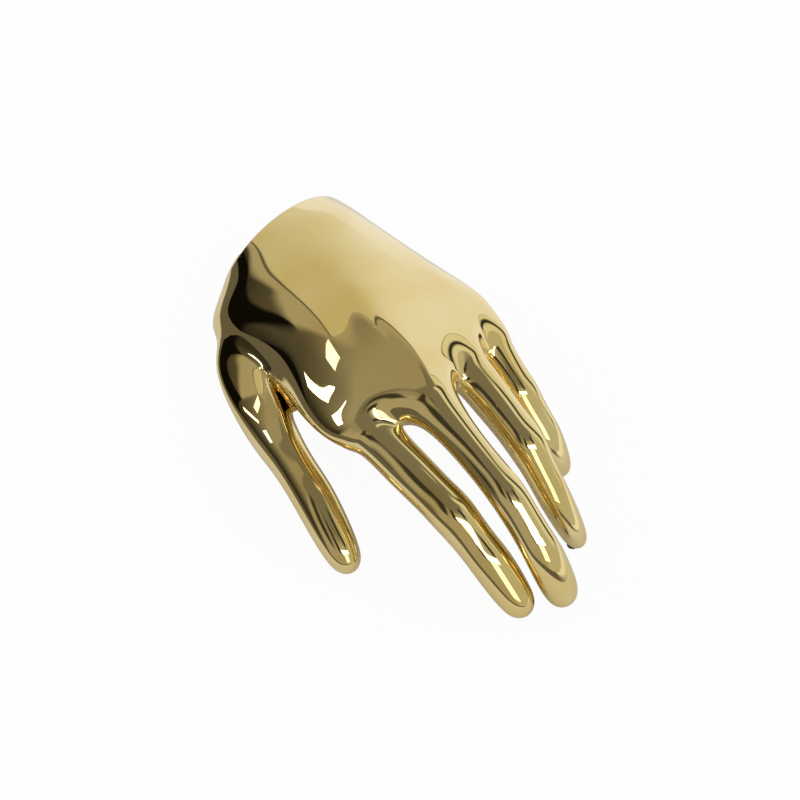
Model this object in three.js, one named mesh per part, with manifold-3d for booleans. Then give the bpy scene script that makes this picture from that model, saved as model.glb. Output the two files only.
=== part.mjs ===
// A life-size left hand in mirror-polished gilt brass, resting palm down on a table.
// Millimetres, +Z up, the table at Z = 0, the fingers towards +X and the thumb on the -Y side.
// The hand is a hollow casting in three shells, brazed edge to edge over inner joining pieces.
// A plate closes the wrist, screwed to a collar inside it, and rubber feet lift the hand off the table.
import * as THREE from 'three';
import { mergeVertices } from 'three/addons/utils/BufferGeometryUtils.js';
import Module from 'manifold-3d';

// Castings
const WALL = 2;
const SEAM_GAP = 0.3;
const PLAN_CENTRE = { x: -5.45, y: 0.45 };

// Finger joints from the knuckle to the tip, listed from the little finger to the index finger.
// knuckle is the half thickness inside the palm, girth that of the free finger at its root and at its end,
// web the share of the first bone inside the palm, and roll tips the back to the little finger, in degrees.
// footBack is how far the foot stands behind the last joint.
const FINGERS = [
  {
    name: 'little',
    knuckle: 7.6,
    girth: [6.7, 4.7],
    web: 0.48,
    footBack: 2.2,
    roll: 22,
    joints: [[-10.4, 32.1, 41.9], [17, 33, 24.9], [27.8, 34.9, 14.4], [34.9, 36.3, 2.9]],
  },
  {
    name: 'ring',
    knuckle: 7,
    girth: [6.6, 4.5],
    web: 0.34,
    footBack: 2.2,
    roll: 8,
    joints: [[-1.7, 16.6, 45.9], [37.2, 18.4, 28.9], [50.2, 18.6, 17.2], [60, 21.2, 2.7]],
  },
  {
    name: 'middle',
    knuckle: 7.1,
    girth: [5, 6.3],
    web: 0.32,
    footBack: 2.6,
    roll: 0,
    joints: [[6, -3.6, 49.9], [50.6, -0.2, 30.9], [66.4, 0.8, 18.2], [74.2, 3.4, 3.3]],
  },
  {
    name: 'index',
    knuckle: 6.7,
    girth: [6.9, 6],
    web: 0.25,
    footBack: 2.2,
    roll: -20,
    joints: [[3.6, -20.8, 39.6], [42.4, -14, 24.9], [57.4, -11.4, 14.9], [70.2, -9, 3.5]],
  },
];
const THUMB = {
  name: 'thumb',
  girth: [7.6, 6.3],
  footBack: 4.4,
  roll: 0,
  joints: [[-57, -19, 18.5], [-20.6, -35, 23.9], [5.7, -37.2, 15.9], [26, -39.2, 3.9]],
};

// Cross-sections along a digit: bone, place along it, half width and half depth over the girth.
// shoulder is the angle of the upper corners from the top, and turn swings a section about Z, in degrees.
// fairing counts the rounds that even the heights over the back.
const KNUCKLE = { bone: 0, along: 0, width: 1.2, depth: 0.9, shoulder: 30, fairing: 3 };
const SADDLE = { bone: 0, along: 0.5, width: 1.08, depth: 1.02, shoulder: 40, fairing: 1 };
const GROOVE = { bone: 0, along: 0.8, width: 1.02, depth: 1.04, shoulder: 58, fairing: 0 };
const WEB = { bone: 0, along: 1, width: 0.97, depth: 1, shoulder: 66 };
const FINGER_STATIONS = [
  { bone: 0, along: 0.56, width: 1.02, depth: 1.06 },
  { bone: 0, along: 0.82, width: 0.97, depth: 0.98 },
  { bone: 1, along: 0, width: 1.04, depth: 1.06 },
  { bone: 1, along: 0.35, width: 0.96, depth: 0.96 },
  { bone: 1, along: 0.72, width: 0.95, depth: 0.92 },
  { bone: 2, along: 0, width: 1, depth: 0.96 },
  { bone: 2, along: 0.5, width: 0.98, depth: 0.92 },
  { bone: 2, along: 1, width: 0.8, depth: 0.76 },
];
const THUMB_STATIONS = [
  { bone: 0, along: 0.5, width: 1.95, depth: 1.25, turn: -45, shoulders: [80, 15] },
  { bone: 0, along: 0.85, width: 1.4, depth: 1.1, turn: -25, shoulders: [70, 25] },
  { bone: 1, along: 0.18, width: 1.04, depth: 1.1 },
  { bone: 1, along: 0.45, width: 0.92, depth: 1 },
  { bone: 1, along: 0.72, width: 0.91, depth: 0.96 },
  { bone: 2, along: 0, width: 0.97, depth: 0.98 },
  { bone: 2, along: 0.5, width: 0.97, depth: 0.9 },
  { bone: 2, along: 1, width: 0.8, depth: 0.76 },
];
const PLAIN_SHOULDER = 45;
const TIP_REACH = 0.7;
const SECTION_FULLNESS = 1.1;

// Wrist and palm: an oval rim, a short cuff, then sections blended towards the knuckles
const WRIST = { centre: [-83.5, 16.5, 20.4], width: 28.6, depth: 18.9, yaw: 10, fullness: 1.01 };
const CUFF = 9;
const PALM_BLENDS = [0, 0.14, 0.5, 0.8];
const BACK_ARCH = { rise: 7.5, lead: 0.2, outerFall: 2, thumbFall: 1 };
const THUMB_ROOT = [2, 3, 4];
const BALL_OF_THUMB = { at: [-65, -14, 18], reach: 19, push: [-2, -13, 0] };
const THUMB_WEB_MUSCLE = { at: [-9, -30, 32], reach: 18, push: [0, -5.4, -2] };
const INDEX_MUSCLE = { at: [-12, -25, 41], reach: 12, push: [0, -1, 2] };
const THUMB_BASE = { at: [-61, -26, 25], reach: 8.5, push: [0, -1, 5] };
const THUMB_ROOT_FILL = { at: [-44, -21, 27], reach: 18, push: [0, -2, 9] };
const HEEL = { at: [-60, 20, 4], reach: 24, push: [0, 0, -1.8] };
const OUTER_WRIST_HOLLOW = { at: [-58, 46, 22], reach: 20, push: [0, -2, 0] };
const BULGES = [
  BALL_OF_THUMB, THUMB_WEB_MUSCLE, INDEX_MUSCLE, THUMB_BASE, THUMB_ROOT_FILL, HEEL, OUTER_WRIST_HOLLOW,
];

// Wrist closure, measured inwards from the rim
const PLATE = { recess: 2, thickness: 3, clearance: 0.6 };
const COLLAR = { depth: 5, band: 6, clearance: 2.4 };
const SCREW = { shank: 1.4, length: 8, head: 2.8, rim: 0.8, crown: 2.2, headHeight: 1.4 };
const SCREW_HOLE = 1.75;
const SCREW_ANGLES = [90, 215, 325];
const FIT_GAP = 0.3;

// Joining plug between the thumb and its stub
const SPIGOT = { radius: 3.8, length: 10 };

// Feet: flat below, dished to the skin above
const TIP_FOOT = { radius: 1.7, height: 2 };
const HEEL_FOOT = { radius: 7, height: 2.4, at: [-73, 17] };

const ROUND_STEPS = 20;

const UP = new THREE.Vector3(0, 0, 1);
const vector = (p) => new THREE.Vector3(...p);
const mean = (list) => list.reduce((sum, p) => sum.add(p), new THREE.Vector3()).divideScalar(list.length);

// The eight corners of a digit's section, from the top round by the thumb side
function section(centre, along, roll, halfWidth, halfDepth, [thumbSide, farSide]) {
  const side = along.clone().cross(UP).normalize();
  side.applyAxisAngle(along, THREE.MathUtils.degToRad(-roll));
  const top = side.clone().cross(along).normalize();
  return [0, thumbSide, 90, 135, 180, 225, 270, 360 - farSide].map((degrees) => {
    const angle = THREE.MathUtils.degToRad(degrees);
    return centre.clone()
      .addScaledVector(top, SECTION_FULLNESS * halfDepth * Math.cos(angle))
      .addScaledVector(side, SECTION_FULLNESS * halfWidth * Math.sin(angle));
  });
}

function boneOf(digit, n) {
  return vector(digit.joints[n + 1]).sub(vector(digit.joints[n]));
}

function stationCentre(digit, station) {
  return vector(digit.joints[station.bone]).addScaledVector(boneOf(digit, station.bone), station.along);
}

function girthAt(digit, station) {
  const [root, end] = digit.girth;
  return THREE.MathUtils.lerp(root, end, (station.bone + station.along) / (digit.joints.length - 1));
}

// A section square to its bone, or to the mean of the two bones that meet at a joint
function stationSection(digit, station, girth = girthAt(digit, station)) {
  const along = boneOf(digit, station.bone).normalize();
  if (station.along === 0 && station.bone > 0) {
    along.add(boneOf(digit, station.bone - 1).normalize()).normalize();
  }
  along.applyAxisAngle(UP, THREE.MathUtils.degToRad(station.turn ?? 0));
  const centre = stationCentre(digit, station);
  const { width, depth, shoulders = [PLAIN_SHOULDER, PLAIN_SHOULDER] } = station;
  return section(centre, along, digit.roll, girth * width, girth * depth, shoulders);
}

// Stations inside the palm count their place along the web's share of the first bone.
// Only a side with another finger beside it falls away to a groove.
function rootSection(finger, station) {
  const along = station.along * finger.web;
  const shoulders = [FINGERS.at(-1), FINGERS[0]].map(
    (outermost) => (finger === outermost ? PLAIN_SHOULDER : station.shoulder),
  );
  return stationSection(finger, { ...station, along, shoulders }, finger.knuckle);
}

function tipPoint(digit) {
  const last = boneOf(digit, digit.joints.length - 2).normalize();
  return vector(digit.joints.at(-1)).addScaledVector(last, TIP_REACH * digit.girth.at(-1));
}

// A palm loop runs over the back from the little finger to the index finger, then back under the palm
const RADIAL = 12;
const ULNAR = 25;
const COLUMNS = 26;
function palmLoop(sections) {
  const over = sections.flatMap((s) => [s[7], s[0], s[1]]);
  const under = sections.toReversed().flatMap((s) => [s[3], s[4], s[5]]);
  return [...over, sections.at(-1)[2], ...under, sections[0][6]];
}

const columnAngle = (column) => Math.PI * (1 - (column + 1) / (RADIAL + 1));
const wristAxis = new THREE.Vector3(1, 0, 0).applyAxisAngle(UP, THREE.MathUtils.degToRad(WRIST.yaw));
const wristSide = wristAxis.clone().cross(UP);
function wristLoop(depth) {
  return Array.from({ length: COLUMNS }, (_, column) => {
    const angle = columnAngle(column);
    return vector(WRIST.centre)
      .addScaledVector(wristAxis, depth)
      .addScaledVector(wristSide, WRIST.fullness * WRIST.width * Math.cos(angle))
      .addScaledVector(UP, WRIST.fullness * WRIST.depth * Math.sin(angle));
  });
}

// Evens the heights over the back of a palm loop, between its two sides
function fair(loop, rounds) {
  let heights = loop.map((p) => p.z);
  for (let n = 0; n < rounds; n += 1) {
    heights = heights.map((z, k) => (k < RADIAL ? (heights.at(k - 1) + 2 * z + heights[k + 1]) / 4 : z));
  }
  return loop.map((p, k) => p.clone().setZ(heights[k]));
}

// A loop part of the way from the cuff to the knuckles. Its back is arched, and falls away sooner
// towards the little finger than towards the thumb.
function palmBlend(cuff, knuckles, share) {
  const { rise, lead, outerFall, thumbFall } = BACK_ARCH;
  const lengthwise = Math.sin((Math.PI * (share + lead)) / (1 + lead));
  return cuff.map((p, column) => {
    const fall = column < RADIAL / 2 ? outerFall : thumbFall;
    const across = Math.max(0, Math.sin(columnAngle(column))) ** fall;
    return p.clone().lerp(knuckles[column], share).addScaledVector(UP, rise * lengthwise * across);
  });
}

function swell(point) {
  const moved = point.clone();
  for (const { at, reach, push } of BULGES) {
    const share = Math.exp(-((point.distanceTo(vector(at)) / reach) ** 2));
    moved.addScaledVector(vector(push), share);
  }
  return moved;
}

// The quad cage of the whole hand, each face marked with the shell that it belongs to
function handCage() {
  const points = [];
  const quads = [];
  const place = (loop) => loop.map((p) => points.push(p) - 1);
  const face = (shell, ...corners) => quads.push({ shell, corners });
  const half = (corner) => (corner < 2 || corner > 5 ? 'dorsal' : 'palmar');

  function tube(shellOf, rings) {
    rings.slice(1).forEach((b, n) => {
      const a = rings[n];
      for (let k = 0; k < 8; k += 1) {
        const next = (k + 1) % 8;
        face(shellOf(k), a[k], a[next], b[next], b[k]);
      }
    });
  }
  function tip(shellOf, ring, point) {
    const [end] = place([point]);
    for (const k of [0, 2, 4, 6]) face(shellOf(k), ring[k], ring[k + 1], ring[(k + 2) % 8], end);
  }

  const webs = FINGERS.map((finger) => place(rootSection(finger, WEB)));
  const [knuckles, ...roots] = [KNUCKLE, SADDLE, GROOVE].map(
    (station) => fair(palmLoop(FINGERS.map((finger) => rootSection(finger, station))), station.fairing),
  );
  const cuff = wristLoop(CUFF);
  const blends = PALM_BLENDS.map((share) => palmBlend(cuff, knuckles, share));
  const palm = [...blends, knuckles, ...roots].map((loop) => place(loop.map(swell)));
  const rings = [place(wristLoop(0)), ...palm, palmLoop(webs)];
  rings.slice(1).forEach((b, n) => {
    const a = rings[n];
    const atThumb = n >= THUMB_ROOT[0] && n < THUMB_ROOT[2];
    for (let k = 0; k < COLUMNS; k += 1) {
      const next = (k + 1) % COLUMNS;
      const shell = k < RADIAL || k === ULNAR ? 'dorsal' : 'palmar';
      const underThumb = atThumb && (k === RADIAL || k === RADIAL + 1);
      if (!underThumb) face(shell, a[k], a[next], b[next], b[k]);
    }
  });

  FINGERS.forEach((finger, n) => {
    const free = FINGER_STATIONS.map((station) => place(stationSection(finger, station)));
    tube(half, [webs[n], ...free]);
    tip(half, free.at(-1), tipPoint(finger));
  });
  webs.slice(1).forEach((b, n) => {
    const a = webs[n];
    face('dorsal', a[1], b[7], b[6], a[2]);
    face('palmar', a[2], b[6], b[5], a[3]);
  });

  const [near, middle, far] = THUMB_ROOT.map((n) => rings[n].slice(RADIAL, RADIAL + 3));
  const root = [middle[0], near[0], near[1], near[2], middle[2], far[2], far[1], far[0]];
  const thumb = THUMB_STATIONS.map((station) => place(stationSection(THUMB, station)));
  tube(() => 'palmar', [root, ...thumb.slice(0, 2)]);
  tube(() => 'thumb', thumb.slice(1));
  tip(() => 'thumb', thumb.at(-1), tipPoint(THUMB));
  return { points, quads };
}

// One round of Catmull-Clark subdivision. Open edges follow their own curve, and a point of no face stays.
function refine({ points, quads }) {
  const edges = new Map();
  const around = points.map(() => ({ faces: [], edges: [] }));
  const keyOf = (a, b) => `${Math.min(a, b)} ${Math.max(a, b)}`;
  const middles = quads.map(({ corners }) => mean(corners.map((c) => points[c])));
  quads.forEach(({ corners }, f) => corners.forEach((a, n) => {
    const b = corners[(n + 1) % 4];
    const key = keyOf(a, b);
    if (!edges.has(key)) {
      const edge = { ends: [a, b], faces: [] };
      edges.set(key, edge);
      around[a].edges.push(edge);
      around[b].edges.push(edge);
    }
    edges.get(key).faces.push(f);
    around[a].faces.push(f);
  }));

  const centreOf = (list) => mean(list.flatMap((edge) => edge.ends.map((c) => points[c])));
  const moved = points.map((point, n) => {
    const open = around[n].edges.filter((edge) => edge.faces.length === 1);
    if (open.length > 0) return point.clone().add(centreOf(open)).divideScalar(2);
    const valence = around[n].faces.length;
    if (valence === 0) return point;
    return mean(around[n].faces.map((f) => middles[f]))
      .addScaledVector(centreOf(around[n].edges), 2)
      .addScaledVector(point, valence - 3)
      .divideScalar(valence);
  });
  for (const edge of edges.values()) {
    const sides = edge.faces.length === 2 ? edge.faces.map((f) => middles[f]) : [];
    edge.point = moved.push(mean([...edge.ends.map((c) => points[c]), ...sides])) - 1;
  }
  const finer = quads.flatMap(({ shell, corners }, f) => {
    const centre = moved.push(middles[f]) - 1;
    return corners.map((a, n) => {
      const after = edges.get(keyOf(a, corners[(n + 1) % 4])).point;
      const before = edges.get(keyOf(a, corners[(n + 3) % 4])).point;
      return { shell, corners: [a, after, centre, before] };
    });
  });
  return { points: moved, quads: finer };
}

function trianglesOf(quads) {
  return quads.flatMap(({ corners: [a, b, c, d] }) => [a, b, c, a, c, d]);
}

function indexedGeometry(points, triangles) {
  const geometry = new THREE.BufferGeometry();
  const numbers = points.flatMap((p) => p.toArray());
  geometry.setAttribute('position', new THREE.Float32BufferAttribute(numbers, 3));
  geometry.setIndex(triangles);
  return geometry;
}

// The skin of the hand at one subdivision, its points carried on towards the smooth limit surface
function handSkin() {
  const skin = refine(handCage());
  const points = refine(skin).points.slice(0, skin.points.length);
  const geometry = indexedGeometry(points, trianglesOf(skin.quads));
  geometry.computeVertexNormals();
  const normals = geometry.getAttribute('normal');
  const outward = points.map((_, n) => new THREE.Vector3().fromBufferAttribute(normals, n));
  return { points, outward, quads: skin.quads };
}

// Edges used once by a set of quads, each in its face's own direction
function openEdges(quads) {
  const once = new Map();
  for (const { corners } of quads) {
    corners.forEach((a, n) => {
      const b = corners[(n + 1) % 4];
      if (!once.delete(`${b} ${a}`)) once.set(`${a} ${b}`, [a, b]);
    });
  }
  return [...once.values()];
}

// Where two shells meet, each seam point draws back square to the seam by half the gap
function seamSetback(skin, quads) {
  const rim = new Set(openEdges(skin.quads).map(String));
  const run = new Map();
  for (const edge of openEdges(quads).filter((ends) => !rim.has(String(ends)))) {
    const [a, b] = edge.map((n) => skin.points[n]);
    for (const n of edge) run.set(n, b.clone().sub(a).add(run.get(n) ?? new THREE.Vector3()));
  }
  return skin.outward.map((normal, n) => {
    if (!run.has(n)) return new THREE.Vector3();
    return normal.clone().cross(run.get(n)).setLength(SEAM_GAP / 2);
  });
}

// One shell: its outer faces, the same faces a wall further in, and strips round the edges
function shellGeometry(skin, shell) {
  const quads = skin.quads.filter((quad) => quad.shell === shell);
  const setback = seamSetback(skin, quads);
  const outer = skin.points.map((point, n) => point.clone().add(setback[n]));
  const inner = outer.map((point, n) => point.clone().addScaledVector(skin.outward[n], -WALL));
  const count = outer.length;
  const lining = quads.map(({ corners }) => ({ corners: corners.map((c) => c + count).reverse() }));
  const strips = openEdges(quads).map(([a, b]) => ({
    corners: a < b ? [a, a + count, b + count, b] : [b, a, a + count, b + count],
  }));
  return indexedGeometry([...outer, ...inner], trianglesOf([...quads, ...lining, ...strips]));
}

// Oval pieces of the wrist lie in the rim's plane: X to the thumb side, Y up, Z out of the wrist
function wristPlace(mesh, depth) {
  const basis = new THREE.Matrix4().makeBasis(wristSide, UP, wristAxis.clone().negate());
  mesh.quaternion.setFromRotationMatrix(basis);
  mesh.position.copy(vector(WRIST.centre)).addScaledVector(wristAxis, depth);
  return mesh;
}

const screwOval = {
  width: WRIST.width - WALL - COLLAR.clearance - COLLAR.band / 2,
  depth: WRIST.depth - WALL - COLLAR.clearance - COLLAR.band / 2,
};
const screwPoints = SCREW_ANGLES.map((degrees) => {
  const angle = THREE.MathUtils.degToRad(degrees);
  return new THREE.Vector2(screwOval.width * Math.cos(angle), screwOval.depth * Math.sin(angle));
});

function ovalGeometry(inset, thickness, band) {
  const shape = new THREE.Shape();
  const oval = (path, by) => path.absellipse(0, 0, WRIST.width - by, WRIST.depth - by, 0, 2 * Math.PI);
  oval(shape, inset);
  if (band) shape.holes.push(oval(new THREE.Path(), inset + band));
  for (const { x, y } of screwPoints) {
    shape.holes.push(new THREE.Path().absarc(x, y, SCREW_HOLE, 0, 2 * Math.PI));
  }
  const options = { depth: thickness, bevelEnabled: false, curveSegments: ROUND_STEPS };
  return new THREE.ExtrudeGeometry(shape, options);
}

// A pan-headed screw along Y with its head's underside at Y = 0
function screwGeometry() {
  const { shank, length, head, rim, crown, headHeight } = SCREW;
  const profile = [
    [0, -length], [shank, -length], [shank, 0], [head, 0],
    [head, rim], [crown, headHeight], [0, headHeight],
  ].map(([r, y]) => new THREE.Vector2(r, y));
  return new THREE.LatheGeometry(profile, ROUND_STEPS);
}

// The plug's middle lies on the thumb's seam, in line with the stub and the first bone of the thumb
function thumbSpigot(material) {
  const [stub, seam, next] = THUMB_STATIONS.map((station) => stationCentre(THUMB, station));
  const along = next.clone().sub(stub).normalize();
  const plug = new THREE.CapsuleGeometry(SPIGOT.radius, SPIGOT.length, ROUND_STEPS / 4, ROUND_STEPS);
  const spigot = named('thumb_spigot', plug, material);
  spigot.quaternion.setFromUnitVectors(new THREE.Vector3(0, 1, 0), along);
  spigot.position.copy(seam);
  return spigot;
}

function named(name, geometry, material) {
  const mesh = new THREE.Mesh(geometry, material);
  mesh.name = name;
  return mesh;
}

const wasm = await Module();
wasm.setup();
function solidOf(geometry) {
  const bare = new THREE.BufferGeometry();
  const flat = geometry.index ? geometry.toNonIndexed() : geometry;
  bare.setAttribute('position', flat.getAttribute('position'));
  const merged = mergeVertices(bare, 1e-3);
  const vertProperties = new Float32Array(merged.getAttribute('position').array);
  const triVerts = new Uint32Array(merged.index.array);
  return new wasm.Manifold(new wasm.Mesh({ numProp: 3, vertProperties, triVerts }));
}

function geometryOf(solid) {
  const { vertProperties, triVerts } = solid.getMesh();
  const geometry = new THREE.BufferGeometry();
  geometry.setAttribute('position', new THREE.BufferAttribute(vertProperties, 3));
  geometry.setIndex(new THREE.BufferAttribute(triVerts, 1));
  return geometry;
}

// The whole outside of the hand as one solid, grown by the fitting gap and closed flat at the rim
function grownSkin(skin) {
  const points = skin.points.map((p, n) => p.clone().addScaledVector(skin.outward[n], FIT_GAP));
  const rim = openEdges(skin.quads);
  const centre = points.push(mean(rim.map(([a]) => points[a]))) - 1;
  const lid = rim.flatMap(([a, b]) => [b, a, centre]);
  return solidOf(indexedGeometry(points, [...trianglesOf(skin.quads), ...lid]));
}

function footGeometry(skinSolid, [x, y], { radius, height }) {
  const disc = new THREE.CylinderGeometry(radius, radius, height, ROUND_STEPS)
    .rotateX(Math.PI / 2)
    .translate(x, y, height / 2);
  return geometryOf(solidOf(disc).subtract(skinSolid));
}

function tipFootPlace(digit) {
  const last = boneOf(digit, digit.joints.length - 2).setZ(0).setLength(digit.footBack);
  const [x, y] = digit.joints.at(-1);
  return [x - last.x, y - last.y];
}

const gilt = new THREE.MeshStandardMaterial({ color: 0xe6cf93, roughness: 0.06, metalness: 1 });
const brass = new THREE.MeshStandardMaterial({ color: 0xb9985a, roughness: 0.35, metalness: 1 });
const steel = new THREE.MeshStandardMaterial({ color: 0xb8bcc0, roughness: 0.3, metalness: 1 });
const rubber = new THREE.MeshStandardMaterial({ color: 0x2b2a29, roughness: 0.85, metalness: 0 });

const hand = new THREE.Group();
hand.position.set(-PLAN_CENTRE.x, -PLAN_CENTRE.y, 0);

const skin = handSkin();
for (const shell of ['dorsal', 'palmar', 'thumb']) {
  hand.add(named(`${shell}_shell`, shellGeometry(skin, shell), gilt));
}
hand.add(thumbSpigot(brass));

const plateInset = WALL + PLATE.clearance;
const plate = named('wrist_plate', ovalGeometry(plateInset, PLATE.thickness), gilt);
hand.add(wristPlace(plate, PLATE.recess + PLATE.thickness));
const collarDepth = PLATE.recess + PLATE.thickness + FIT_GAP + COLLAR.depth;
const collarRing = ovalGeometry(WALL + COLLAR.clearance, COLLAR.depth, COLLAR.band);
const collar = named('wrist_collar', collarRing, brass);
hand.add(wristPlace(collar, collarDepth));
screwPoints.forEach(({ x, y }, n) => {
  const screw = named(`plate_screw_${n + 1}`, screwGeometry(), steel);
  screw.rotation.x = Math.PI / 2;
  screw.position.set(x, y, 0);
  hand.add(wristPlace(new THREE.Group().add(screw), PLATE.recess - FIT_GAP));
});

const skinSolid = grownSkin(skin);
for (const digit of [...FINGERS, THUMB]) {
  hand.add(named(`${digit.name}_foot`, footGeometry(skinSolid, tipFootPlace(digit), TIP_FOOT), rubber));
}
hand.add(named('heel_foot', footGeometry(skinSolid, HEEL_FOOT.at, HEEL_FOOT), rubber));

export default hand;
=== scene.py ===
import math
import bmesh
import bpy
from mathutils import Matrix, Quaternion, Vector


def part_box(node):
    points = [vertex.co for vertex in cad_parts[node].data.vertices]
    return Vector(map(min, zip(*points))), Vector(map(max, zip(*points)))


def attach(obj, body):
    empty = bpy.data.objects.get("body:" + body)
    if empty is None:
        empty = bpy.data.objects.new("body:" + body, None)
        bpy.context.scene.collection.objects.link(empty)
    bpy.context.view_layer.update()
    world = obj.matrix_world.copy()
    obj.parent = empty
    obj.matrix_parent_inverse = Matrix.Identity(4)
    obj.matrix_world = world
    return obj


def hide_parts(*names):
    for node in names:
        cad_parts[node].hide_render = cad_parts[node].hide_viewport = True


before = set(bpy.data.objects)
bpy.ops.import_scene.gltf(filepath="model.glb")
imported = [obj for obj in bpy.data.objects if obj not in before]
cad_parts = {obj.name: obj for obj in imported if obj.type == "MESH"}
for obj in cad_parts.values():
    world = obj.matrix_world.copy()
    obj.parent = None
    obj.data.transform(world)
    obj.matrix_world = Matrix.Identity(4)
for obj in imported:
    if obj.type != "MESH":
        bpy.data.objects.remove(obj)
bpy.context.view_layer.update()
print("frame loaded with", len(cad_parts), "nodes")

mm = 0.001
tiny = 0.01 * mm  # for welding and comparing
up = Vector((0, 0, 1))


# camera at the photograph's angle
view = {
    "azimuth": 52,
    "elevation": 45,
    "distance": 650 * mm,
    "lens": 96.5, "sensor": 36, "near": 10 * mm,
    "aim": Vector((4.61, 0.21, 27.97)) * mm,
}


def addCamera():
    turn, lift = math.radians(view["azimuth"]), math.radians(view["elevation"])
    back = Vector((math.sin(turn) * math.cos(lift), -math.cos(turn) * math.cos(lift), math.sin(lift)))
    bpy.ops.object.camera_add(location=view["aim"] + back * view["distance"])
    camera = bpy.context.object
    camera.rotation_euler = (-back).to_track_quat("-Z", "Y").to_euler()
    camera.data.lens = view["lens"]
    camera.data.sensor_width = view["sensor"]
    camera.data.clip_start = view["near"]
    bpy.context.scene.camera = camera


addCamera()
print("camera set")


# edit mode helpers: points are picked by their place
def clearSelection():
    if bpy.context.object and bpy.context.object.mode != "OBJECT":
        bpy.ops.object.mode_set(mode="OBJECT")
    bpy.ops.object.select_all(action="DESELECT")


def activate(piece):
    clearSelection()
    piece.select_set(True)
    bpy.context.view_layer.objects.active = piece


def editMesh():
    return bmesh.from_edit_mesh(bpy.context.edit_object.data)


def showEdit():
    bmesh.update_edit_mesh(bpy.context.edit_object.data)


def nearest(verts, point):
    return min(verts, key=lambda v: (v.co - point).length_squared)


def pick(points):
    bpy.ops.mesh.select_all(action="DESELECT")
    mesh = editMesh()
    for point in points:
        nearest(mesh.verts, point).select = True
    mesh.select_flush_mode()
    showEdit()


def pickEdges(test):
    bpy.ops.mesh.select_mode(type="EDGE")
    bpy.ops.mesh.select_all(action="DESELECT")
    for edge in editMesh().edges:
        edge.select = test(edge)
    editMesh().select_flush_mode()
    showEdit()


def pickFaces(test):
    bpy.ops.mesh.select_mode(type="FACE")
    bpy.ops.mesh.select_all(action="DESELECT")
    for face in editMesh().faces:
        face.select = test(face)
    editMesh().select_flush_mode()
    showEdit()


def startRing(points):
    bpy.ops.mesh.primitive_circle_add(vertices=len(points), radius=10 * mm, fill_type="NOTHING")
    fresh = [v for v in editMesh().verts if v.select]
    for vert, point in zip(fresh, points):
        vert.co = point
    showEdit()


def growRing(fromPoints, toPoints):
    pick(fromPoints)
    bpy.ops.mesh.extrude_region_move()
    fresh = [v for v in editMesh().verts if v.select]
    for vert, point in zip([nearest(fresh, p) for p in fromPoints], toPoints):
        vert.co = point
    showEdit()


def closeTip(ring, point):
    pick(ring)
    bpy.ops.mesh.fill_grid(span=2, offset=0)  # four quads round one new point
    fresh = [v for v in editMesh().verts if v.select]
    centre = max(fresh, key=lambda v: min((v.co - p).length for p in ring))
    centre.co = point
    showEdit()


def applyModifier(piece, kind, **settings):
    activate(piece)
    bpy.ops.object.modifier_add(type=kind)
    modifier = piece.modifiers[-1]
    for name, value in settings.items():
        setattr(modifier, name, value)
    bpy.ops.object.modifier_apply(modifier=modifier.name)


# fingers from the little finger to the index finger, joints from knuckle to tip,
# in millimetres from a zero below the knuckles, then moved to the middle of the plan
# knuckle and girth are half widths, and web is the share of the first bone that lies in the palm
planShift = Vector((5.45, -0.45, 0))
fingers = {
    "little": {
        "knuckle": 7.6, "girth": (6.7, 4.7), "web": 0.48, "roll": 22,
        "joints": [(-10.4, 32.1, 41.9), (17, 33, 24.9), (27.8, 34.9, 14.4), (34.9, 36.3, 2.9)],
    },
    "ring": {
        "knuckle": 7, "girth": (6.6, 4.5), "web": 0.34, "roll": 8,
        "joints": [(-1.7, 16.6, 45.9), (37.2, 18.4, 28.9), (50.2, 18.6, 17.2), (60, 21.2, 2.7)],
    },
    "middle": {
        "knuckle": 7.1, "girth": (5, 6.3), "web": 0.32, "roll": 0,
        "joints": [(6, -3.6, 49.9), (50.6, -0.2, 30.9), (66.4, 0.8, 18.2), (74.2, 3.4, 3.3)],
    },
    "index": {
        "knuckle": 6.7, "girth": (6.9, 6), "web": 0.25, "roll": -20,
        "joints": [(3.6, -20.8, 39.6), (42.4, -14, 24.9), (57.4, -11.4, 14.9), (70.2, -9, 3.5)],
    },
}
# bone, place along it, half width and half depth over the girth
fingerRings = [
    (0, 0.56, 1.02, 1.06), (0, 0.82, 0.97, 0.98),
    (1, 0, 1.04, 1.06), (1, 0.35, 0.96, 0.96), (1, 0.72, 0.95, 0.92),
    (2, 0, 1, 0.96), (2, 0.5, 0.98, 0.92), (2, 1, 0.8, 0.76),
]
thumb = {
    "girth": (7.6, 6.3), "roll": 0,
    "joints": [(-57, -19, 18.5), (-20.6, -35, 23.9), (5.7, -37.2, 15.9), (26, -39.2, 3.9)],
}
# the root's two rings swing about the upright, and their upper corners slope to the outside
thumbRings = [
    (0, 0.5, 1.95, 1.25, -45, (80, 15)), (0, 0.85, 1.4, 1.1, -25, (70, 25)),
    (1, 0.18, 1.04, 1.1), (1, 0.45, 0.92, 1), (1, 0.72, 0.91, 0.96),
    (2, 0, 0.97, 0.98), (2, 0.5, 0.97, 0.9), (2, 1, 0.8, 0.76),
]
# shoulder is the angle of a ring's upper corners from its top
digitShape = {"fullness": 1.1, "tipReach": 0.7, "shoulder": 45}


def onPlan(points):
    return [(p + planShift) * mm for p in points]


def bone(digit, n):
    return Vector(digit["joints"][n + 1]) - Vector(digit["joints"][n])


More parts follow.
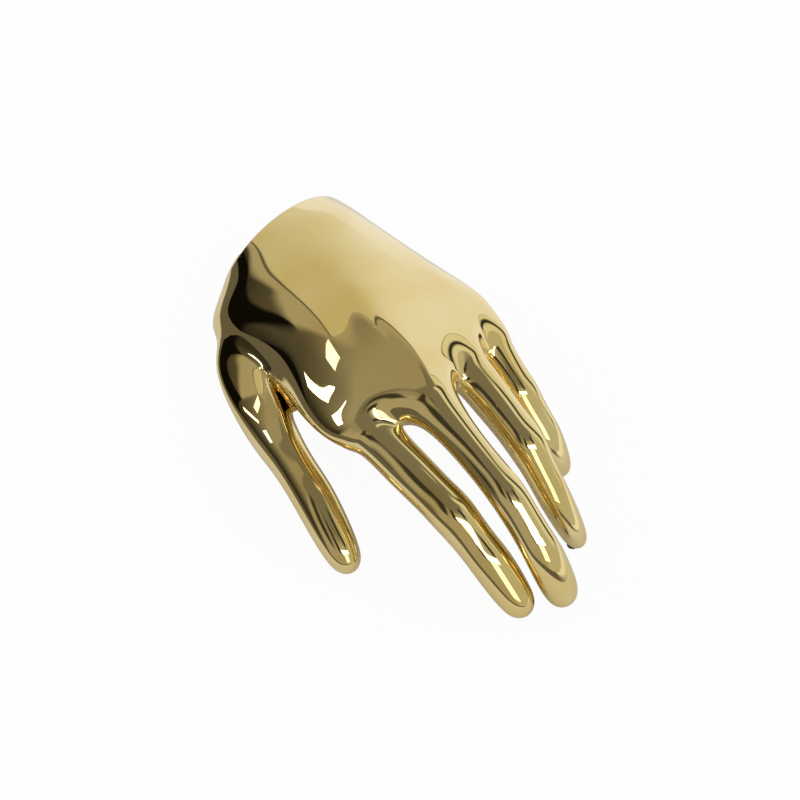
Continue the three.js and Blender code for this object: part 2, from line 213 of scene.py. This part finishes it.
# eight points round a digit, from the top round by the thumb side
def digitRing(digit, n, share, width, depth, swing=0, shoulders=None, girth=None):
    thumbSide, farSide = shoulders or 2 * [digitShape["shoulder"]]
    along = bone(digit, n).normalized()
    if share == 0 and n > 0:
        along = (along + bone(digit, n - 1).normalized()).normalized()
    along.rotate(Quaternion(up, math.radians(swing)))
    side = along.cross(up).normalized()
    side.rotate(Quaternion(along, math.radians(-digit["roll"])))
    top = side.cross(along).normalized()
    centre = Vector(digit["joints"][n]) + bone(digit, n) * share
    root, end = digit["girth"]
    bones = len(digit["joints"]) - 1
    reach = digitShape["fullness"] * (girth or root + (end - root) * (n + share) / bones)
    ring = []
    for degrees in (0, thumbSide, 90, 135, 180, 225, 270, 360 - farSide):
        a = math.radians(degrees)
        ring.append(centre + top * (reach * depth * math.cos(a)) + side * (reach * width * math.sin(a)))
    return ring


def tipOf(digit):
    reach = digitShape["tipReach"] * digit["girth"][1]
    return Vector(digit["joints"][-1]) + bone(digit, 2).normalized() * reach


# wrist and palm: an oval rim, a short cuff, then loops that turn into the knuckles
palm = {
    "wrist": Vector((-83.5, 16.5, 20.4)),
    "width": 28.6, "depth": 18.9, "fullness": 1.01, "yaw": 10,
    "cuff": 9,
    "columns": 26, "thumbSide": 12, "outerSide": 25,  # points of a loop: over the back, then under the palm
    "thumbRoot": (2, 3, 4),  # loops that the thumb's root spans
    "blends": (0, 0.14, 0.5, 0.8),
    "arch": 7.5, "archLead": 0.2,  # rise of the back between the wrist and the knuckles
    "fairing": {"knuckle": 3, "saddle": 1, "groove": 0},  # rounds that even the heights of a loop
    # share of the web's place along the first bone, half width, half depth, shoulder
    "knuckle": (0, 1.2, 0.9, 30),
    "saddle": (0.5, 1.08, 1.02, 40),
    "groove": (0.8, 1.02, 1.04, 58),
    "web": (1, 0.97, 1, 66),
    # swellings: place, reach and push
    "swellings": [
        ((-65, -14, 18), 19, (-2, -13, 0)),  # ball of the thumb
        ((-9, -30, 32), 18, (0, -5.4, -2)),  # muscle in the web of the thumb
        ((-12, -25, 41), 12, (0, -1, 2)),  # muscle beside the index finger's bone
        ((-61, -26, 25), 8.5, (0, -1, 5)),  # base of the thumb
        ((-44, -21, 27), 18, (0, -2, 9)),  # flesh behind the root of the thumb
        ((-60, 20, 4), 24, (0, 0, -1.8)),  # heel
        ((-58, 46, 22), 20, (0, -2, 0)),  # hollow on the outside of the wrist
    ],
}
wristAxis = Quaternion(up, math.radians(palm["yaw"])) @ Vector((1, 0, 0))  # into the hand
wristSide = wristAxis.cross(up)


def columnAngle(column):
    return math.pi * (1 - 2 * (column + 1) / palm["columns"])


def wristLoop(depth):
    middle = palm["wrist"] + wristAxis * depth
    width, rise = palm["width"] * palm["fullness"], palm["depth"] * palm["fullness"]
    loop = []
    for column in range(palm["columns"]):
        a = columnAngle(column)
        loop.append(middle + wristSide * (width * math.cos(a)) + up * (rise * math.sin(a)))
    return loop


# only a side with another finger beside it falls away to a groove
def rootRing(finger, station):
    share, width, depth, shoulder = palm[station]
    plain = digitShape["shoulder"]
    shoulders = [plain if finger is fingers[name] else shoulder for name in ("index", "little")]
    share *= finger["web"]
    return digitRing(finger, 0, share, width, depth, shoulders=shoulders, girth=finger["knuckle"])


# over the back from the little finger to the index finger, then back under the palm
def palmLoop(rings):
    over = [r[k] for r in rings for k in (7, 0, 1)]
    under = [r[k] for r in reversed(rings) for k in (3, 4, 5)]
    return over + [rings[-1][2]] + under + [rings[0][6]]


# a loop through the fingers' roots, with the heights over the back evened between its two sides
def rootLoop(station):
    loop = palmLoop([rootRing(f, station) for f in fingers.values()])
    heights, back = [p.z for p in loop], palm["thumbSide"]
    for n in range(palm["fairing"][station]):
        heights[:back] = [(heights[k - 1] + 2 * heights[k] + heights[k + 1]) / 4 for k in range(back)]
    return [Vector((p.x, p.y, z)) for p, z in zip(loop, heights)]


# part of the way from the cuff to the knuckles
def blendLoop(cuff, knuckles, share):
    lead = palm["archLead"]
    lift = palm["arch"] * math.sin(math.pi * (share + lead) / (1 + lead))
    loop = []
    for column in range(palm["columns"]):
        across = max(0, math.sin(columnAngle(column)))
        if column < palm["thumbSide"] / 2:
            across *= across  # the outer half of the back falls away sooner
        loop.append(cuff[column].lerp(knuckles[column], share) + up * (lift * across))
    return loop


def swell(point):
    moved = point.copy()
    for place, reach, push in palm["swellings"]:
        moved += Vector(push) * math.exp(-((point - Vector(place)).length / reach) ** 2)
    return moved


def modelHand():
    row = list(fingers.values())
    webs = [onPlan(rootRing(f, "web")) for f in row]
    knuckles, saddles, grooves = [rootLoop(station) for station in palm["fairing"]]
    cuff = wristLoop(palm["cuff"])
    blends = [blendLoop(cuff, knuckles, share) for share in palm["blends"]]
    rings = [onPlan(wristLoop(0))]
    rings += [onPlan([swell(p) for p in loop]) for loop in [*blends, knuckles, saddles, grooves]]

    # the palm grows from the wrist's rim
    clearSelection()
    bpy.ops.mesh.primitive_circle_add(
        vertices=palm["columns"], radius=palm["depth"] * mm, fill_type="NOTHING", enter_editmode=True
    )
    hand = bpy.context.object
    bpy.ops.mesh.select_mode(type="VERT")
    for vert, point in zip(editMesh().verts, rings[0]):
        vert.co = point
    showEdit()
    for near, far in zip(rings, rings[1:]):
        growRing(near, far)

    # each finger grows from its own ring at the web
    thumbSide, outerSide = palm["thumbSide"], palm["outerSide"]
    backPoints = [ring[k] for ring in rings for k in (outerSide, *range(thumbSide + 1))]
    for finger, web in zip(row, webs):
        loops = [web] + [onPlan(digitRing(finger, *station)) for station in fingerRings]
        startRing(web)
        for near, far in zip(loops, loops[1:]):
            growRing(near, far)
        tip = onPlan([tipOf(finger)])[0]
        closeTip(loops[-1], tip)
        backPoints += [ring[k] for ring in loops for k in (6, 7, 0, 1, 2)] + [tip]

    # the palm meets the fingers, and the webs are filled between them
    growRing(rings[-1], palmLoop(webs))
    bpy.ops.mesh.select_all(action="SELECT")
    bpy.ops.mesh.remove_doubles(threshold=tiny)
    for a, b in zip(webs, webs[1:]):
        for corners in ([a[1], b[7], b[6], a[2]], [a[2], b[6], b[5], a[3]]):
            pick(corners)
            bpy.ops.mesh.edge_face_add()

    # the thumb's root is a hole in the side of the palm, bridged to the thumb's first ring
    root = [rings[n][thumbSide:thumbSide + 3] for n in palm["thumbRoot"]]
    pick([p for ring in root for p in ring])
    bpy.ops.mesh.delete(type="FACE")
    loops = [onPlan(digitRing(thumb, *station)) for station in thumbRings]
    startRing(loops[0])
    for near, far in zip(loops, loops[1:]):
        growRing(near, far)
    thumbTip = onPlan([tipOf(thumb)])[0]
    closeTip(loops[-1], thumbTip)
    near, middle, far = root
    hole = [middle[0], near[0], near[1], near[2], middle[2], far[2], far[1], far[0]]
    pick(hole + loops[0])
    bpy.ops.mesh.bridge_edge_loops()
    bpy.ops.mesh.select_all(action="SELECT")
    bpy.ops.mesh.normals_make_consistent(inside=False)

    # three castings: palm, back and thumb
    for name in ("palm", "back", "thumb"):
        bpy.ops.object.material_slot_add()
        hand.active_material = bpy.data.materials.new(name)
    for slot, points in ((1, backPoints), (2, [p for ring in loops[1:] for p in ring] + [thumbTip])):
        pick(points)
        hand.active_material_index = slot
        bpy.ops.object.material_slot_assign()
    bpy.ops.object.mode_set(mode="OBJECT")
    hand.name = "handSkin"
    return hand


skin = modelHand()
print("hand cage:", len(skin.data.polygons), "faces")
applyModifier(skin, "SUBSURF", levels=3, render_levels=3, use_limit_surface=True)
bpy.ops.object.shade_smooth()
print("hand skin:", len(skin.data.polygons), "faces")


# shader maths: a wire holds a socket, and sums on wires add Math nodes
class Wire:
    def __init__(self, tree, socket=None):
        self.tree = tree
        self.socket = socket

    def node(self, kind, settings=None, inputs=None, out=0):
        made = self.tree.nodes.new(kind)
        for name, value in (settings or {}).items():
            setattr(made, name, value)
        for name, value in (inputs or {}).items():
            if isinstance(value, Wire):
                self.tree.links.new(value.socket, made.inputs[name])
            else:
                made.inputs[name].default_value = value
        if isinstance(out, tuple):
            return [Wire(self.tree, made.outputs[name]) for name in out]
        return Wire(self.tree, made.outputs[out] if made.outputs else None)

    def math(self, operation, *values):
        return self.node("ShaderNodeMath", {"operation": operation}, dict(enumerate(values)))

    def __add__(self, other):
        return self.math("ADD", self, other)

    def __radd__(self, other):
        return self.math("ADD", other, self)

    def __sub__(self, other):
        return self.math("SUBTRACT", self, other)

    def __rsub__(self, other):
        return self.math("SUBTRACT", other, self)

    def __mul__(self, other):
        return self.math("MULTIPLY", self, other)

    def __rmul__(self, other):
        return self.math("MULTIPLY", other, self)

    # 0 at low, 1 at high, smooth between
    def step(self, low, high):
        settings = {"interpolation_type": "SMOOTHSTEP"}
        return self.node("ShaderNodeMapRange", settings, {"Value": self, "From Min": low, "From Max": high})

    def mix(self, share, first, second):
        return self.node("ShaderNodeMix", {"data_type": "RGBA"}, {0: share, 6: first, 7: second}, 2)

    def noise(self, place, scale, detail=2):
        return self.node("ShaderNodeTexNoise", {}, {"Vector": place, "Scale": scale, "Detail": detail})

    def bump(self, height, distance, under=None):
        inputs = {"Strength": 1, "Distance": distance, "Height": height}
        if under:
            inputs["Normal"] = under
        return self.node("ShaderNodeBump", {}, inputs)

    def shade(self, **values):
        names = {"colour": "Base Color", "metal": "Metallic", "rough": "Roughness", "normal": "Normal"}
        shader = self.node("ShaderNodeBsdfPrincipled", {}, {names[k]: v for k, v in values.items()})
        self.node("ShaderNodeOutputMaterial", {}, {"Surface": shader})


def newFinish(name):
    finish = bpy.data.materials.new(name)
    finish.use_nodes = True
    finish.node_tree.nodes.clear()
    wire = Wire(finish.node_tree)
    return finish, wire, wire.node("ShaderNodeTexCoord", out="Object")


# mirror-polished gold plate over a casting: slow ripples, faint haze where it was wiped, a few pits
giltLook = {
    "pale": (0.84, 0.7, 0.37, 1), "deep": (0.8, 0.63, 0.28, 1), "cloudScale": 38,
    "polish": 0.02, "haze": 0.05, "wipeScale": 190,
    "ripple": 0.05 * mm, "rippleScale": 60,
    "pitDepth": 0.015 * mm, "pitScale": 260, "pitRough": 0.2, "chanceScale": 110,
}


def makeGilt():
    finish, wire, place = newFinish("gilt")
    cloud = wire.noise(place, giltLook["cloudScale"], 3).step(0.35, 0.7)
    wipe = wire.noise(place, giltLook["wipeScale"], 4).step(0.45, 0.75)
    ripple = wire.noise(place, giltLook["rippleScale"], 1)
    cell = wire.node("ShaderNodeTexVoronoi", {}, {"Vector": place, "Scale": giltLook["pitScale"]})
    chance = wire.noise(place, giltLook["chanceScale"], 0).step(0.66, 0.74)
    pit = (1 - cell.step(0.05, 0.16)) * chance
    normal = wire.bump(ripple, giltLook["ripple"])
    normal = wire.bump(1 - pit, giltLook["pitDepth"], normal)
    rough = giltLook["polish"] + giltLook["haze"] * wipe * cloud + giltLook["pitRough"] * pit
    colour = wire.mix(cloud, giltLook["pale"], giltLook["deep"])
    wire.shade(colour=colour, metal=1, rough=rough, normal=normal)
    return finish


# brass inside the hand, as cast and machined
# stain and grain are scale and detail of a noise, rough is the clean finish and what the stain adds
brassLook = {
    "clean": (0.55, 0.4, 0.18, 1), "stained": (0.36, 0.25, 0.11, 1), "metal": 1, "rough": (0.28, 0.25),
    "stain": (120, 4), "edges": (0.35, 0.7), "grain": (1500, 3), "depth": 0.06 * mm,
}
# bright zinc on the screws
steelLook = {
    "clean": (0.62, 0.64, 0.66, 1), "stained": (0.42, 0.43, 0.44, 1), "metal": 1, "rough": (0.2, 0.2),
    "stain": (900, 4), "edges": (0.4, 0.7), "grain": (4000, 2), "depth": 0.01 * mm,
}
# matt moulded rubber, a little dusty
rubberLook = {
    "clean": (0.02, 0.02, 0.019, 1), "stained": (0.05, 0.048, 0.045, 1), "metal": 0, "rough": (0.7, 0.2),
    "stain": (700, 5), "edges": (0.4, 0.75), "grain": (3500, 3), "depth": 0.04 * mm,
}


def makeStained(name, look):
    finish, wire, place = newFinish(name)
    stain = wire.noise(place, *look["stain"]).step(*look["edges"])
    normal = wire.bump(wire.noise(place, *look["grain"]), look["depth"])
    colour = wire.mix(stain, look["clean"], look["stained"])
    clean, added = look["rough"]
    wire.shade(colour=colour, metal=look["metal"], rough=clean + added * stain, normal=normal)
    return finish


gilt = makeGilt()
innerBrass = makeStained("innerBrass", brassLook)
screwSteel = makeStained("screwSteel", steelLook)
footRubber = makeStained("footRubber", rubberLook)
print("finishes made")


def finishPiece(piece, name, material, slot, *nodes):
    piece.name = name
    piece.data.name = name
    piece.data.materials.clear()
    piece.data.materials.append(material)
    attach(piece, "root")
    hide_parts(*nodes)


# wrist frame: x to the thumb side, y up, z out of the hand
rimCentre = (palm["wrist"] + planShift) * mm
wristFrame = Matrix.Translation(rimCentre) @ Matrix((wristSide, up, -wristAxis)).transposed().to_4x4()


def depthInWrist(point):
    return (point - rimCentre).dot(wristAxis)


# the skin is cut into its three castings, each gets a wall, and the wrist's rim is rounded
# lipBand keeps its own normals, the rest takes them from the whole skin within seamReach
shell = {"wall": 2 * mm, "lip": 0.9 * mm, "lipBand": 1.2 * mm, "seamReach": 0.3 * mm}


# edges round the rim, between its flat end and a side, but not those across the wall at the seams
def onRim(edge):
    if any(depthInWrist(v.co) > 2 * tiny for v in edge.verts) or len(edge.link_faces) != 2:
        return False
    flat = [abs(f.normal.dot(wristAxis)) > 0.9 for f in edge.link_faces]
    out = (edge.verts[0].co + edge.verts[1].co) / 2 - rimCentre
    run = edge.verts[1].co - edge.verts[0].co
    return flat[0] != flat[1] and abs(run.normalized().dot(out.normalized())) < 0.75


def castShells():
    activate(skin)
    bpy.ops.object.duplicate()
    whole = bpy.context.object  # kept for its normals
    slots = [material.name for material in skin.data.materials]
    castings = {"thumb": skin}
    for name in ("back", "palm"):  # parted one by one, so that their order is the same on every run
        activate(skin)
        bpy.ops.object.mode_set(mode="EDIT")
        pickFaces(lambda f: f.material_index == slots.index(name))
        bpy.ops.mesh.separate(type="SELECTED")
        bpy.ops.object.mode_set(mode="OBJECT")
        castings[name] = [piece for piece in bpy.context.selected_objects if piece != skin][0]
    for name, piece in castings.items():
        applyModifier(piece, "SOLIDIFY", thickness=shell["wall"], offset=-1, use_rim=True)
        if name != "thumb":
            activate(piece)
            bpy.ops.object.mode_set(mode="EDIT")
            pickEdges(onRim)
            bpy.ops.mesh.bevel(offset=shell["lip"], segments=4, affect="EDGES")
            bpy.ops.object.mode_set(mode="OBJECT")
        # the whole skin's normals, so that no seam shows
        lip = piece.vertex_groups.new(name="lip")
        ends = [v.index for v in piece.data.vertices if depthInWrist(v.co) < shell["lipBand"]]
        lip.add(ends, 1, "REPLACE")
        applyModifier(
            piece, "DATA_TRANSFER", object=whole, use_loop_data=True, data_types_loops={"CUSTOM_NORMAL"},
            loop_mapping="POLYINTERP_NEAREST", use_max_distance=True, max_distance=shell["seamReach"],
            vertex_group="lip", invert_vertex_group=True,
        )
    bpy.data.objects.remove(whole)
    return castings


castings = castShells()
finishPiece(castings["back"], "handBack", gilt, "gilt", "dorsal_shell")
finishPiece(castings["palm"], "handPalm", gilt, "gilt", "palmar_shell")
finishPiece(castings["thumb"], "handThumb", gilt, "gilt", "thumb_shell")
print("castings:", [len(p.data.polygons) for p in castings.values()], "faces")


# plate that closes the wrist, set back inside the rim
plate = {
    "inset": 2.6, "recess": 2 * mm, "thickness": 3 * mm, "edge": 0.5 * mm,
    "sides": 96, "smooth": 40, "holeRoom": 0.35 * mm,  # room round a screw's shank
}
screw = {
    "inset": 7.4, "angles": (90, 215, 325), "lift": 0.3 * mm,
    "shank": 1.4 * mm, "length": 8 * mm, "point": 0.4 * mm, "sides": 40, "smooth": 35,
    "head": 2.8 * mm, "height": 1.4 * mm, "corner": 0.6 * mm,
    "slot": (7 * mm, 0.7 * mm, 1.5 * mm),  # half of its depth is in the head
    "turn": 0.7, "turnStep": 1.1,  # radians, each screw stops at its own angle
}


def screwPlaces():
    places = []
    for degrees in screw["angles"]:
        a = math.radians(degrees)
        across, rise = palm["width"] - screw["inset"], palm["depth"] - screw["inset"]
        places.append(Vector((across * math.cos(a), rise * math.sin(a), 0)) * mm)
    return places


def settle(piece, matrix):
    activate(piece)
    piece.matrix_world = matrix
    bpy.ops.object.transform_apply(location=True, rotation=True, scale=True)


def cutWith(piece, cutter):
    applyModifier(piece, "BOOLEAN", object=cutter, operation="DIFFERENCE", solver="EXACT")
    bpy.data.objects.remove(cutter)


def modelPlate():
    clearSelection()
    bpy.ops.mesh.primitive_circle_add(
        vertices=plate["sides"], radius=1, fill_type="NGON", enter_editmode=True
    )
    piece = bpy.context.object
    size = ((palm["width"] - plate["inset"]) * mm, (palm["depth"] - plate["inset"]) * mm, 1)
    bpy.ops.mesh.select_all(action="SELECT")
    bpy.ops.transform.resize(value=size)
    bpy.ops.mesh.extrude_region_move(TRANSFORM_OT_translate={"value": (0, 0, -plate["thickness"])})
    bpy.ops.mesh.select_all(action="SELECT")
    bpy.ops.mesh.normals_make_consistent(inside=False)
    pickEdges(lambda e: abs(e.verts[0].co.z - e.verts[1].co.z) < tiny)
    bpy.ops.mesh.bevel(offset=plate["edge"], segments=3, affect="EDGES")
    bpy.ops.object.mode_set(mode="OBJECT")
    for place in screwPlaces():
        clearSelection()
        bpy.ops.mesh.primitive_cylinder_add(
            vertices=32, radius=screw["shank"] + plate["holeRoom"], depth=20 * mm, location=place
        )
        cutWith(piece, bpy.context.object)
    settle(piece, wristFrame @ Matrix.Translation((0, 0, -plate["recess"])))
    bpy.ops.object.shade_smooth_by_angle(angle=math.radians(plate["smooth"]))
    return piece


finishPiece(modelPlate(), "wristPlate", gilt, "gilt", "wrist_plate")


# pan-headed screw with a slot, modelled once and copied
def modelScrew():
    clearSelection()
    bpy.ops.mesh.primitive_cylinder_add(
        vertices=screw["sides"], radius=screw["head"], depth=screw["height"], enter_editmode=True
    )
    piece = bpy.context.object
    half = screw["height"] / 2
    pickEdges(lambda e: all(v.co.z > half * 0.9 for v in e.verts))
    bpy.ops.mesh.bevel(offset=screw["corner"], segments=5, affect="EDGES")
    pickFaces(lambda f: f.normal.z < -0.9)
    bpy.ops.mesh.inset(thickness=screw["head"] - screw["shank"])
    bpy.ops.mesh.extrude_region_move(TRANSFORM_OT_translate={"value": (0, 0, -screw["length"])})
    pickEdges(lambda e: all(v.co.z < -screw["length"] for v in e.verts))
    bpy.ops.mesh.bevel(offset=screw["point"], segments=2, affect="EDGES")
    bpy.ops.object.mode_set(mode="OBJECT")
    clearSelection()
    bpy.ops.mesh.primitive_cube_add(size=1, location=(0, 0, half), scale=screw["slot"])
    cutWith(piece, bpy.context.object)
    settle(piece, Matrix.Translation((0, 0, half)))
    bpy.ops.object.shade_smooth_by_angle(angle=math.radians(screw["smooth"]))
    return piece


def driveScrews():
    first = modelScrew()
    for n, place in enumerate(screwPlaces()):
        activate(first)
        bpy.ops.object.duplicate()
        piece = bpy.context.object
        lift = Matrix.Translation((place.x, place.y, screw["lift"] - plate["recess"]))
        turn = Matrix.Rotation(screw["turn"] + screw["turnStep"] * n, 4, "Z")
        settle(piece, wristFrame @ lift @ turn)
        finishPiece(piece, f"plateScrew{n + 1}", screwSteel, "screw_steel", f"plate_screw_{n + 1}")
    bpy.data.objects.remove(first)


driveScrews()
print("wrist closed")


# rubber feet, flat on the table and dished to the skin above
foot = {
    "gap": 0.25 * mm, "edge": 0.4 * mm, "sides": 40, "smooth": 40,
    "insets": (0.25, 0.25, 0.25),  # rings of the dished top, over the radius
}


def modelFoot(name):
    low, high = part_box(name + "_foot")
    middle, radius = (low + high) / 2, (high.x - low.x) / 2
    clearSelection()
    bpy.ops.mesh.primitive_cylinder_add(
        vertices=foot["sides"], radius=radius, depth=high.z,
        location=(middle.x, middle.y, high.z / 2), enter_editmode=True,
    )
    piece = bpy.context.object
    pickEdges(lambda e: all(v.co.z < 0 for v in e.verts))
    bpy.ops.mesh.bevel(offset=foot["edge"], segments=3, affect="EDGES")
    pickFaces(lambda f: f.normal.z > 0.9)
    for share in foot["insets"]:
        bpy.ops.mesh.inset(thickness=radius * share)
    bpy.ops.mesh.poke()
    bpy.ops.object.mode_set(mode="OBJECT")
    settle(piece, piece.matrix_world.copy())
    sides = [castings["palm"], castings["thumb"]]
    for vert in piece.data.vertices:
        if vert.co.z < high.z - tiny:
            continue
        below = Vector((vert.co.x, vert.co.y, -1))
        hits = [side.ray_cast(below, up) for side in sides]
        heights = [place.z for hit, place, normal, face in hits if hit]
        vert.co.z = min([vert.co.z] + [h - foot["gap"] for h in heights])
    bpy.ops.object.shade_smooth_by_angle(angle=math.radians(foot["smooth"]))
    return piece


for name in ("little", "ring", "middle", "index", "thumb", "heel"):
    finishPiece(modelFoot(name), name + "Foot", footRubber, "foot_rubber", name + "_foot")
for node in ("thumb_spigot", "wrist_collar"):
    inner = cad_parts[node]
    inner.data.materials.clear()
    inner.data.materials.append(innerBrass)
print("feet and inner pieces done")


# studio: white table, a white sweep behind, a dim warm room in front and a few soft boxes
# a patch of the room has a middle and a reach round it, a lowest and a highest edge and a softness,
# in degrees, and some lean aside as they rise; each covers those before it
room = {
    "plain": 0.8,  # what lights matt things
    "low": 0.04, "high": 0.38, "rise": (5, 60),  # the walls brighten upwards
    "patches": [
        (0.58, (28, 68, -30, 60, 14)),  # bright side on the right
        (0.45, (-55, 33, -8, 42, 6)),  # front
        (0.22, (0, 200, 53, 120, 5)),  # ceiling
        (0.38, (-165, 70, 47, 100, 6)),  # paler ceiling on the left
        (0.82, (65, 8, 12, 66, 2.5)),  # two curtains with a dark gap between them
        (0.04, (80, 4, -10, 50, 2)),
        (0.82, (98, 12, -10, 50, 2)),
        (0.04, (20, 9, 46, 60, 3)),  # dark flag over the right side
        (0.45, (175, 38, 20.5, 50, 1.5, -0.6)),  # wall beside the sweep
        (0.45, (150, 28.5, -10, 24, 1.5, 0.4)),
        (0.05, (-68, 8, 30, 58, 4)),  # dark flags in front
        (0.04, (-40, 7, 36, 56, 3)),
    ],
    "black": 0.005, "wedge": ((-156, 30, -25, 25, 1.2, 1.25), (-173.5, 30, -25, 25, 1.2, -0.75)),
    "sweep": 0.92, "paper": (130, 44.6, -25, 46, 0.4, 0.4),
    "hem": 0.1, "border": (130, 45.3, -25, 46.7, 0.3, 0.4),  # dark line round the sweep
    "corner": (-102.5, 30, 25, 70, 0.5, -1),  # cut from the sweep, so that its top slopes down to its left
    "dim": 0.28, "shade": (185, 30, -40, 80, 30),  # the sweep dims and yellows to the left
    "daylight": (45, 70, -30, 70, 14),  # from the right
    "white": (1, 1, 1, 1), "warm": (1, 0.92, 0.7, 1), "cream": (1, 0.93, 0.66, 1), "day": (1, 0.98, 0.79, 1),
}


def lightStudio():
    world = bpy.data.worlds.new("studio")
    bpy.context.scene.world = world
    world.use_nodes = True
    world.node_tree.nodes.clear()
    wire = Wire(world.node_tree)
    direction = wire.node("ShaderNodeTexCoord", out="Generated")
    x, y, z = wire.node("ShaderNodeSeparateXYZ", {}, {0: direction}, ("X", "Y", "Z"))
    lift = wire.math("ARCSINE", z) * math.degrees(1)

    def patch(azimuth, reach, low, high, soft, lean=0):
        a = math.radians(azimuth)
        ahead = x * math.cos(a) + y * math.sin(a)
        aside = y * math.cos(a) - x * math.sin(a)
        turn = wire.math("ARCTAN2", aside, ahead) * math.degrees(1)
        off = wire.math("ABSOLUTE", turn - lean * lift)
        sideways = 1 - off.step(reach - soft, reach + soft)
        return sideways * lift.step(low - soft, low + soft) * (1 - lift.step(high - soft, high + soft))

    def paint(level, mask, value):
        return level + mask * (value - level)

    level = room["low"] + (room["high"] - room["low"]) * lift.step(*room["rise"])
    for value, place in room["patches"]:
        level = paint(level, patch(*place), value)
    left, right = room["wedge"]  # a black flag where both lie
    level = paint(level, patch(*left) * patch(*right), room["black"])
    corner = 1 - patch(*room["corner"])
    level = paint(level, corner * patch(*room["border"]), room["hem"])
    sweep = corner * patch(*room["paper"])
    shade = patch(*room["shade"])
    level = paint(level, sweep, room["sweep"] - room["dim"] * shade)
    side = patch(*room["daylight"])
    colour = wire.mix(side, room["warm"], room["day"])
    colour = wire.mix(sweep, colour, wire.mix(shade, room["white"], room["cream"]))
    camera, glossy = wire.node("ShaderNodeLightPath", out=("Is Camera Ray", "Is Glossy Ray"))
    plain = room["plain"] + glossy * (level - room["plain"])
    colour = wire.mix(glossy, room["white"], colour)
    strength = plain + camera * (1 - plain)
    back = wire.node("ShaderNodeBackground", {}, {"Color": colour, "Strength": strength})
    wire.node("ShaderNodeOutputWorld", {}, {"Surface": back})


lampDistance = 1.6
softBoxes = {
    "right": {"azimuth": -8, "elevation": 43, "width": 1.1, "height": 0.18, "glow": 3.5},
    "panel": {"azimuth": -14, "elevation": 26, "width": 0.6, "height": 0.76, "glow": 1.4},
    "windowA": {"azimuth": -161, "elevation": 36.5, "width": 0.28, "height": 0.12, "glow": 2, "roll": -34},
    "windowB": {"azimuth": -148, "elevation": 25, "width": 0.09, "height": 0.42, "glow": 4, "roll": -22},
    "windowC": {"azimuth": -122, "elevation": 37, "width": 0.55, "height": 0.26, "glow": 4},
}


def addSoftBoxes():
    for name, box in softBoxes.items():
        turn, rise = math.radians(box["azimuth"]), math.radians(box["elevation"])
        away = Vector((math.cos(turn) * math.cos(rise), math.sin(turn) * math.cos(rise), math.sin(rise)))
        bpy.ops.object.light_add(type="AREA", location=away * lampDistance)
        lamp = bpy.context.object
        lamp.name = name + "SoftBox"
        lamp.rotation_euler = away.to_track_quat("Z", "Y").to_euler()
        lamp.rotation_euler.rotate_axis("Z", math.radians(box.get("roll", 0)))
        lamp.data.shape = "RECTANGLE"
        lamp.data.size, lamp.data.size_y = box["width"], box["height"]
        lamp.data.energy = box["glow"] * math.pi * box["width"] * box["height"]
        lamp.visible_camera = False


# plain white to the camera, paper to the rest; past an oval edge the gold sees it glow, bright white behind
# and a dim cream in front that is painted shade
sheet = {
    "size": 12, "oval": (30, 100), "edge": (0.9, 1.3), "behind": (0, 0.12),
    "paper": (0.78, 0.77, 0.75, 1), "white": (1, 1, 1, 1), "paintedShadeFront": (1, 0.93, 0.77, 1), "paintedShadeFrontGlow": 0.15,
    "seen": 0.95, "bright": 0.85,  # shares of plain white
}


def addTable():
    clearSelection()
    bpy.ops.mesh.primitive_plane_add(size=sheet["size"])
    table = bpy.context.object
    table.name = "table"
    finish, wire, place = newFinish("whiteTable")
    camera, glossy = wire.node("ShaderNodeLightPath", out=("Is Camera Ray", "Is Glossy Ray"))
    x, y = wire.node("ShaderNodeSeparateXYZ", {}, {0: place}, ("X", "Y"))
    behind = y.step(*sheet["behind"])
    along, across = sheet["oval"]
    far = glossy * (along * x * x + across * y * y).step(*sheet["edge"])
    paper = wire.node("ShaderNodeBsdfDiffuse", {}, {"Color": sheet["paper"]})
    white = wire.node("ShaderNodeEmission", {}, {"Color": sheet["white"], "Strength": 1})
    # painted shade: a faint cream glow that the gold sees on the table in front, in place of the shade that
    # falls there
    paintedShadeFront = wire.node("ShaderNodeEmission", {}, {"Color": sheet["paintedShadeFront"], "Strength": sheet["paintedShadeFrontGlow"]})
    share = sheet["seen"] * camera + sheet["bright"] * far * behind
    lit = wire.node("ShaderNodeMixShader", {}, {0: share, 1: paper, 2: white})
    # in front, past the oval, the gold sees the painted shade instead of the lit paper
    both = wire.node("ShaderNodeMixShader", {}, {0: far * (1 - behind), 1: lit, 2: paintedShadeFront})
    wire.node("ShaderNodeOutputMaterial", {}, {"Surface": both})
    table.data.materials.append(finish)


lightStudio()
addSoftBoxes()
addTable()
bpy.context.scene.view_settings.view_transform = "Standard"
print("studio lit")
